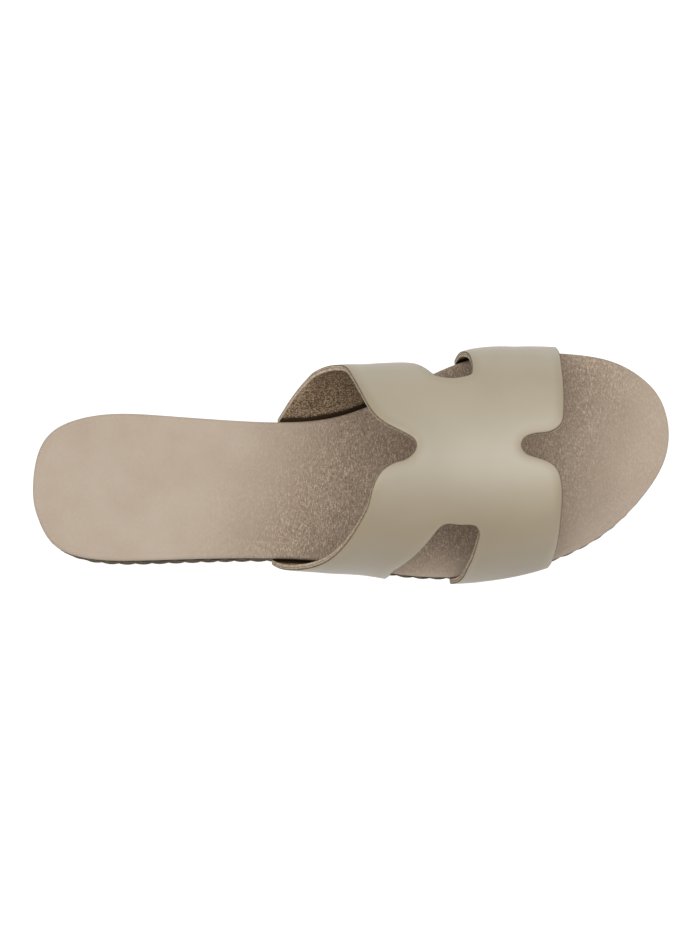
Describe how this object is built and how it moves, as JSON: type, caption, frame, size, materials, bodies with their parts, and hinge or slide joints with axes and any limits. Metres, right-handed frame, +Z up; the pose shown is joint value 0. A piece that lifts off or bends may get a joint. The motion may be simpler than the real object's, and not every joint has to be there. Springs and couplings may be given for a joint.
{
  "type": "slide sandal",
  "caption": "Backless slide sandal for the right foot: H-shaped smooth upper, suede-covered insole, low rope-wrapped wedge and thin grooved rubber outsole.",
  "frame": {"origin": "middle of the bounding box, on the floor that the sandal stands on", "axes": "+X from heel to toe, +Y to the inner (medial) side of the right foot, +Z up"},
  "size_m": [0.2512, 0.0924, 0.0816],
  "materials": {
    "outsole_rubber": "matte",
    "wedge_foam": "matte",
    "jute": "coarse braided rope",
    "insole_suede": "short suede-like nap",
    "upper_synthetic": "smooth satin"
  },
  "bodies": {
    "root": {"outsole": "outsole_rubber", "wedge": "wedge_foam", "jute_wrap": "jute", "insole": "insole_suede", "upper": "upper_synthetic"}
  },
  "joints": []
}
